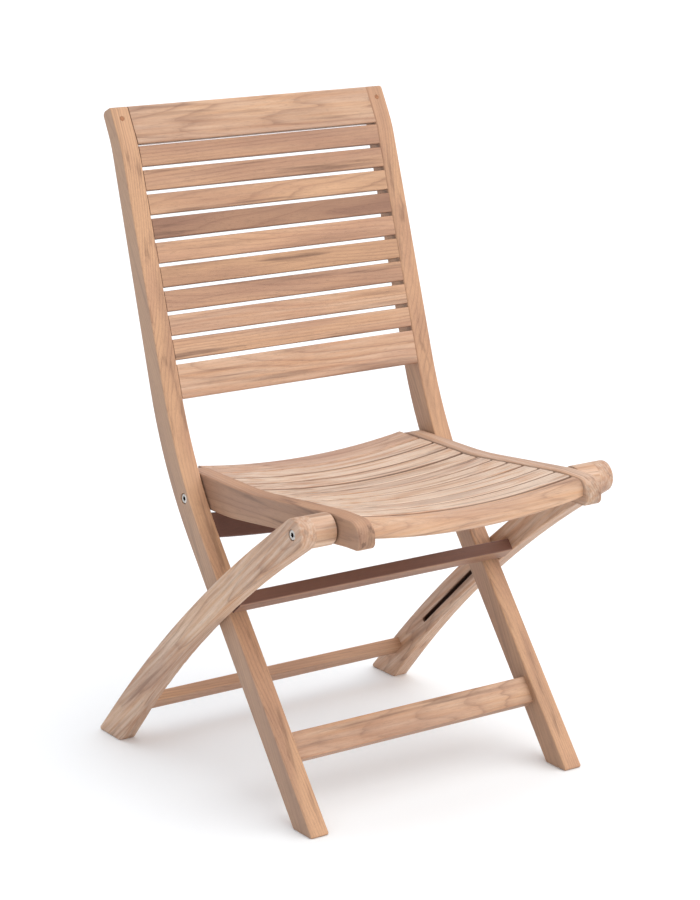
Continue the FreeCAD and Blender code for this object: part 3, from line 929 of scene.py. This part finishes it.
@dataclass
class BackFrame:
    """The stiles with everything that stands still between them.

    Attributes:
        slats: how many slats the back has.
        slat_length: free length of a slat between the stiles, m.
        slat_tall, slat_deep: a slat's section, m.
        tongue: the slat tongue's length, depth and height, m.
        foot_lean: how far the lower half of the stiles leans back, radians.
        top_lean: how far the swept tops lean back, radians.
        stop_lean: how far the rail under the seat leans back, radians.
    """

    slats: int = 9
    slat_length: float = 0.390
    slat_tall: float = 0.028
    slat_deep: float = 0.012
    tongue: tuple[float, float, float] = (0.014, 0.006, 0.022)
    foot_lean: float = math.atan(0.7766)
    top_lean: float = math.atan(0.549)
    stop_lean: float = math.radians(20.0)
    tones: list[tuple[float, ...]] = field(default_factory=lambda: [
        (0.28, 0.50, 0.90, 0.05), (0.19, 0.35, 0.80, 0.05), (0.08, 0.15, 0.80, 0.05),
        (0.66, 0.40, 1.00, 0.00), (0.06, 0.50, 0.30, 0.05), (0.24, 0.15, 1.00, 0.00),
        (0.20, 0.40, 0.95, 0.05), (0.06, 0.45, 0.50, 0.15), (0.12, 0.40, 1.00, 0.10)])

    def lean(self) -> float:
        """How far the back rest leans, from its top and bottom slats."""
        span = middle("back_slat_1") - middle("back_slat_%d" % self.slats)
        return math.atan2(span.y, span.z)

    def boards(self) -> list[Board]:
        """The sawn boards that keep their frame shapes."""
        lean = self.lean()
        return [
            # The stiles' last tone value is painted shade on their wide side faces.
            Board("left_stile", Run.LEANING_BACK, seeded(1, -0.03, 0.15, 0.60, 0.0, 0.0, 0.48)),
            Board("right_stile", Run.LEANING_BACK, seeded(2, 0.07, 0.30, 0.65, 0.0, 0.0, 0.30)),
            Board("top_rail", Run.ACROSS, seeded(3, 0.19, 0.30, 0.60, 0.20), self.top_lean),
            Board("lower_back_rail", Run.ACROSS, seeded(4, 0.02, 0.60, 0.60, 0.20), lean),
            # The stop rail's full brown and darker teak are painted shade from the seat above it.
            Board("stop_rail", Run.ACROSS, seeded(5, 1.00, 0.40, 0.50), self.stop_lean,
                  wood=SEAT_SHADOW_TEAK),
            Board("front_stretcher", Run.ACROSS, seeded(6, 0.05, 0.35, 0.75, 0.20), self.foot_lean)]

    def build(self, tree: bpy.types.NodeTree) -> None:
        """Lay the back slats and finish the boards.

        Args:
            tree: the slat tree.
        """
        SlatRow("back_slats", "back_frame", "teak_honey", numbered("back_slat", self.slats),
                [-self.lean()] * self.slats, self.tones, self.slat_length, self.slat_deep,
                self.slat_tall, self.tongue).build(tree)
        for board in self.boards():
            board.dress()


@dataclass
class Seat:
    """The seat rails and the dished slats let in between them.

    Attributes:
        slats: how many like slats lie between the rear slat and the nose.
        slat_length: free length of a slat between the rails, m.
        slat_wide, slat_deep: a slat's section, m.
        dish: how far a slat's middle sags, m.
        tongue: the slat tongue's length, width and depth, m.
    """

    slats: int = 10
    slat_length: float = 0.336
    slat_wide: float = 0.030
    slat_deep: float = 0.014
    dish: float = 0.013
    tongue: tuple[float, float, float] = (0.009, 0.020, 0.008)
    # The seat slats' paleness is partly weathering and partly painted sheen, the paleness the
    # bright surroundings give their tops at a low view.
    tones: list[tuple[float, ...]] = field(default_factory=lambda: [
        (0.01, 0.45, 0.50, 0.62), (-0.05, 0.25, 0.60, 0.75), (0.02, 0.40, 0.80, 0.64),
        (-0.05, 0.10, 0.50, 0.86), (0.00, 0.50, 0.70, 0.75), (-0.06, 0.20, 0.50, 0.95),
        (0.00, 0.35, 0.90, 0.78), (-0.06, 0.15, 0.50, 0.95), (-0.04, 0.35, 0.70, 0.92),
        (-0.06, 0.25, 0.60, 1.00)])

    def leans(self) -> list[float]:
        """How far each slat is turned about its length, from its neighbours' heights."""
        middles = [middle(node) for node in ["rear_seat_slat", *numbered("seat_slat", self.slats)]]
        middles.append(2 * middles[-1] - middles[-2])
        found = []
        for behind, ahead in zip(middles, middles[2:]):
            run = behind - ahead
            found.append(math.atan2(run.z, run.y))
        return found

    def boards(self) -> list[Board]:
        """The sawn boards that keep their frame shapes."""
        flat = math.pi / 2
        return [
            # The seat rails' last tone value is painted shade on their wide side faces.
            Board("left_seat_rail", Run.LEVEL, seeded(11, 0.27, 0.45, 0.90, 0.05, 0.0, 0.26)),
            Board("right_seat_rail", Run.LEVEL, seeded(12, 0.08, 0.40, 0.60, 0.35, 0.0, 0.30)),
            Board("rear_seat_slat", Run.ACROSS, seeded(13, 0.10, 0.75, 0.45, 0.25), flat),
            Board("nose_slat", Run.ACROSS, seeded(14, 0.06, 0.22, 0.75, 0.20), flat / 2)]

    def build(self, tree: bpy.types.NodeTree) -> None:
        """Lay the seat slats and finish the boards.

        Args:
            tree: the slat tree.
        """
        # The seat slats' narrow faces take more painted shade, for the dark gaps between them.
        SlatRow("seat_slats", "seat", "teak_pale", numbered("seat_slat", self.slats),
                self.leans(), self.tones, self.slat_length, self.slat_wide, self.slat_deep,
                self.tongue, self.dish, narrow_face_shade=0.6).build(tree)
        for board in self.boards():
            board.dress()


@dataclass
class RearLegs:
    """The bowed legs, their spacer barrels and their two cross bars.

    Attributes:
        upper_lean: how far the upper bar's top leans forward, radians.
        foot_lean: how far the foot bar's top leans forward, radians.
        slot_run: how far the slots run back and down from the crossing with the stiles, m.
    """

    upper_lean: float = math.radians(50.5)
    foot_lean: float = math.radians(43.5)
    slot_run: tuple[float, float] = (0.156, -0.142)

    def slot(self, leg: str) -> Slot:
        """The slot that a stile's pin slides in.

        Args:
            leg: the leg's frame node.

        Returns:
            The slot in that leg.
        """
        pins = middle("slot_pins")
        start = Vector((0.0, pins.y, pins.z))
        inner = min(abs(corner[0]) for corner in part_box(leg))
        return Slot(start, start + Vector((0.0, *self.slot_run)), inner)

    def boards(self) -> list[Board]:
        """The sawn boards that keep their frame shapes."""
        return [
            Board("left_rear_leg", Run.LEANING_FORWARD, seeded(21, 0.06, 0.30, 0.55, 0.42),
                  crossed=False, slot=self.slot("left_rear_leg")),
            Board("right_rear_leg", Run.LEANING_FORWARD, seeded(22, 0.08, 0.45, 0.60, 0.35),
                  crossed=False, slot=self.slot("right_rear_leg")),
            Board("left_leg_barrel", Run.ACROSS, seeded(21, 0.00, 0.20, 0.70, 0.40)),
            Board("right_leg_barrel", Run.ACROSS, seeded(22, 0.02, 0.30, 0.70, 0.45)),
            # The upper stretcher's brown, darker teak and narrow-face shade are painted shade from
            # the seat above it.
            Board("upper_stretcher", Run.ACROSS,
                  seeded(25, 0.52, 0.45, 0.80, 0.0, 0.92), -self.upper_lean, wood=SEAT_SHADOW_TEAK),
            Board("foot_stretcher", Run.ACROSS, seeded(26, 0.20, 0.35, 1.00, 0.05),
                  -self.foot_lean)]

    def build(self) -> None:
        """Finish the boards."""
        for board in self.boards():
            board.dress()


@dataclass
class Hardware:
    """Pivot bolts, plugs and the hidden steel and brass.

    Attributes:
        head_radius: bolt head's radius, m.
        head_deep: bolt head's depth, m.
        shank_radius: bolt shank's radius, m.
        key: half the hexagon socket's width across its flats, m.
        key_deep: the socket's depth, m.
        thread: how far a bolt runs into its insert, m.
        spins: how the left and right bolts' sockets happen to be turned, radians.
        plug_radius: a plug's radius, m.
        top_lean: how far the plugs' face leans back, radians.
    """

    head_radius: float = 0.0066
    head_deep: float = 0.0026
    shank_radius: float = 0.0030
    key: float = 0.0025
    key_deep: float = 0.0018
    thread: float = 0.014
    spins: tuple[float, float] = (0.3, 0.8)
    plug_radius: float = 0.00345
    top_lean: float = math.atan(0.549)

    def bolt(self, length: float) -> bpy.types.Object:
        """A bolt whose head's crown is at z = 0 and whose shank runs down.

        Args:
            length: from crown to tip, m.

        Returns:
            The template object.
        """
        head, key, bevel = self.head_radius, self.key, 0.0006
        rings = [(self.shank_radius - bevel, -length, False),
                 (self.shank_radius, bevel - length, False),
                 (self.shank_radius, -self.head_deep, False),
                 (head - 0.0002, -self.head_deep, False), (head, -0.0022, False),
                 (head, -bevel, False), (head - 0.0003, -0.00025, False),
                 (head - 0.0009, 0.0, False), (key + 0.0009, 0.0, False),
                 (key + 0.0003, -0.0002, True), (key, -0.0005, True),
                 (key, -self.key_deep, True), (0.4 * key, -self.key_deep - 0.0003, False)]
        mesh = turned_mesh("bolt_template", rings)
        # Mark the socket's walls for painted shade in the metal's finish.
        socket_shade_layer = mesh.attributes.new("socket_shade", "FLOAT", "POINT")
        for item, vertex in zip(socket_shade_layer.data, mesh.vertices):
            socket_wide = vertex.co.xy.length < 1.2 * key
            item.value = float(socket_wide and -self.head_deep < vertex.co.z < -0.0001)
        return link("bolt_template", mesh)

    def plug(self, length: float) -> bpy.types.Object:
        """A slightly domed plug whose crown is at z = 0, running down.

        Args:
            length: the plug's length, m.

        Returns:
            The template object.
        """
        wide = self.plug_radius
        rings = [(0.9 * wide, -length, False), (wide, 0.0005 - length, False),
                 (wide, -0.0005, False), (wide - 0.0002, -0.00015, False),
                 (wide - 0.0007, 0.0, False), (0.5 * wide, 0.00005, False)]
        return link("plug_template", turned_mesh("plug_template", rings))

    def set_of(self, name: str, body: str, node: str,
               template: bpy.types.Object, places: Sequence[Vector],
               turns: Sequence[Sequence[float]], finish: bpy.types.Material,
               tree: bpy.types.NodeTree) -> None:
        """Put a template on every place and stand the set for its frame node.

        Args:
            name: the piece's name.
            body: the frame body it rides on.
            node: the frame node it stands for.
            template: what is copied; it is used up.
            places: where each copy's crown is.
            turns: each copy's turn about x, y and z.
            finish: the set's material.
            tree: the copies tree.
        """
        mesh = places_mesh(name + "_places", places, {"turn": list(turns)})
        made = grow(name, mesh, tree, {"Template": template, "Finish": finish})
        bpy.data.objects.remove(template)
        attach(made, body)
        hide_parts(node)
        log.info("%s set: %d copies on %s", name, len(places), body)

    def ends(self, node: str) -> tuple[Vector, Vector]:
        """The middles of a node pair's outer ends, left then right."""
        low, high = corners(node)
        centre = middle(node)
        return Vector((low.x, centre.y, centre.z)), Vector((high.x, centre.y, centre.z))

    def build(self) -> None:
        """Make the bolts and plugs and finish what stays hidden."""
        tree = copies_tree()
        steel = BOLT_STEEL.dress("bolt_steel")
        tip = corners("rear_pivot_inserts")[1].x - self.thread
        sideways = [(Matrix.Rotation(side * math.pi / 2, 3, "Y")
                     @ Matrix.Rotation(spin, 3, "Z")).to_euler()
                    for side, spin in zip((-1, 1), self.spins)]
        for name in ("rear_pivot_bolts", "front_pivot_bolts"):
            places = self.ends(name)
            template = self.bolt(places[1].x - tip)
            self.set_of(name + "_turned", "seat", name, template, places,
                        sideways, steel, tree)
        self.build_plugs(tree)
        for node in ("slot_pins", "rear_pivot_washers", "front_pivot_washers"):
            dress_node(node, STEEL.dress(node + "_steel"))
        for node in ("rear_pivot_inserts", "front_pivot_inserts"):
            dress_node(node, BRASS.dress(node + "_brass"))

    def build_plugs(self, tree: bpy.types.NodeTree) -> None:
        """Set the plugs in the stiles' swept tops.

        Args:
            tree: the copies tree.
        """
        low, high = corners("stile_plugs")
        centre = middle("stile_plugs")
        out = Vector((0.0, -math.cos(self.top_lean), math.sin(self.top_lean)))
        wide = self.plug_radius
        length = (high.y - low.y - 2 * wide * math.sin(self.top_lean)) / math.cos(self.top_lean)
        crowns = [Vector((x, centre.y, centre.z)) + out * length / 2
                  for x in (low.x + wide, high.x - wide)]
        turn = (math.pi / 2 - self.top_lean, 0.0, 0.0)
        lie = Lie(crowns[0], out, Vector((1.0, 0.0, 0.0)))
        finish = PLUG_TEAK.dress("plug_teak", lie, seeded(9, 0.10, 0.3, 0.4), crossed=False)
        self.set_of("stile_plugs_turned", "back_frame", "stile_plugs",
                    self.plug(length), crowns, [turn, turn], finish, tree)


# ---- studio -----------------------------------------------------------------------------

@dataclass(frozen=True)
class Sun:
    """A soft distant light.

    Attributes:
        name: the light's name.
        source: the direction it comes from.
        strength: its strength, W per square metre.
        spread: how wide it looks, which softens shadows, degrees.
        colour: its colour.
    """

    name: str
    source: tuple[float, float, float]
    strength: float
    spread: float
    colour: Colour = (1.0, 1.0, 1.0)

    def shine(self) -> None:
        """Light the chair."""
        data = bpy.data.lights.new(self.name, "SUN")
        data.energy, data.angle, data.color = self.strength, math.radians(self.spread), self.colour
        lamp = bpy.data.objects.new(self.name, data)
        lamp.rotation_euler = (-Vector(self.source)).to_track_quat("-Z", "Y").to_euler()
        bpy.context.collection.objects.link(lamp)


@dataclass
class Studio:
    """A pale floor, soft lights and the camera.

    Attributes:
        eye: where the camera stands, m.
        yaw: how far it looks to the right of straight back, degrees.
        pitch: how far it looks down, degrees.
        lens: focal length for a 36 mm sensor, mm.
        sky: strength of the even light all round.
        suns: the soft lights from above and from the front.
        reach: how far the floor runs to each side, m.
        pale, less_pale: the floor's two tones.
    """

    eye: Vector = field(default_factory=lambda: Vector((-1.9643, -2.8456, 1.3426)))
    yaw: float = 34.45
    pitch: float = 14.68
    lens: float = 135.87
    sky: float = 0.60
    suns: tuple[Sun, ...] = (Sun("overhead", (0.25, 0.15, 1.0), 1.4, 120.0),
                             Sun("key", (0.9, -1.3, 1.1), 1.75, 90.0, (1.0, 0.95, 0.89)))
    reach: float = 30.0
    pale: Colour = (0.922, 0.945, 0.963)
    less_pale: Colour = (0.892, 0.915, 0.933)

    def floor(self) -> None:
        """Lay a pale matt floor."""
        mesh = bpy.data.meshes.new("studio_floor")
        sides = ((-1, -1), (1, -1), (1, 1), (-1, 1))
        mesh.from_pydata([(x * self.reach, y * self.reach, 0.0) for x, y in sides], [],
                         [(0, 1, 2, 3)])
        floor = link("studio_floor", mesh)
        material, graph, shader = new_material("pale_floor")
        place = graph.node("ShaderNodeTexCoord").outputs["Object"]
        cloud = graph.noise(place, (0.7, 0.7, 0.7))
        colour = graph.blend(self.pale, self.less_pale, cloud)
        graph.tree.links.new(colour, shader.inputs["Base Color"])
        shader.inputs["Roughness"].default_value = 0.85
        shader.inputs["Specular IOR Level"].default_value = 0.1
        mesh.materials.append(material)

    def sky_light(self) -> None:
        """Surround the chair with an even pale light."""
        world = bpy.data.worlds.new("studio")
        world.use_nodes = True
        graph = Graph(world.node_tree)
        graph.tree.nodes.clear()
        glow = graph.node("ShaderNodeBackground", None,
                          {"Color": (0.97, 0.99, 1.03, 1.0), "Strength": self.sky})
        graph.node("ShaderNodeOutputWorld", None, {"Surface": glow.outputs[0]})
        bpy.context.scene.world = world

    def camera(self) -> None:
        """Stand the camera."""
        data = bpy.data.cameras.new("camera")
        data.sensor_fit = "HORIZONTAL"
        data.sensor_width, data.lens = 36.0, self.lens
        made = bpy.data.objects.new("camera", data)
        made.location = self.eye
        made.rotation_euler = (math.radians(90.0 - self.pitch), 0.0, -math.radians(self.yaw))
        bpy.context.collection.objects.link(made)
        bpy.context.scene.camera = made

    def build(self) -> None:
        """Set up the whole studio."""
        self.floor()
        self.sky_light()
        for sun in self.suns:
            sun.shine()
        self.camera()
        bpy.context.scene.view_settings.view_transform = "Standard"


def main() -> None:
    """Build the chair's looks and its studio."""
    logging.basicConfig(level=logging.INFO)
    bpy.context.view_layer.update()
    slats = slat_tree()
    BackFrame().build(slats)
    Seat().build(slats)
    RearLegs().build()
    Hardware().build()
    Studio().build()


if __name__ == "__main__":
    main()
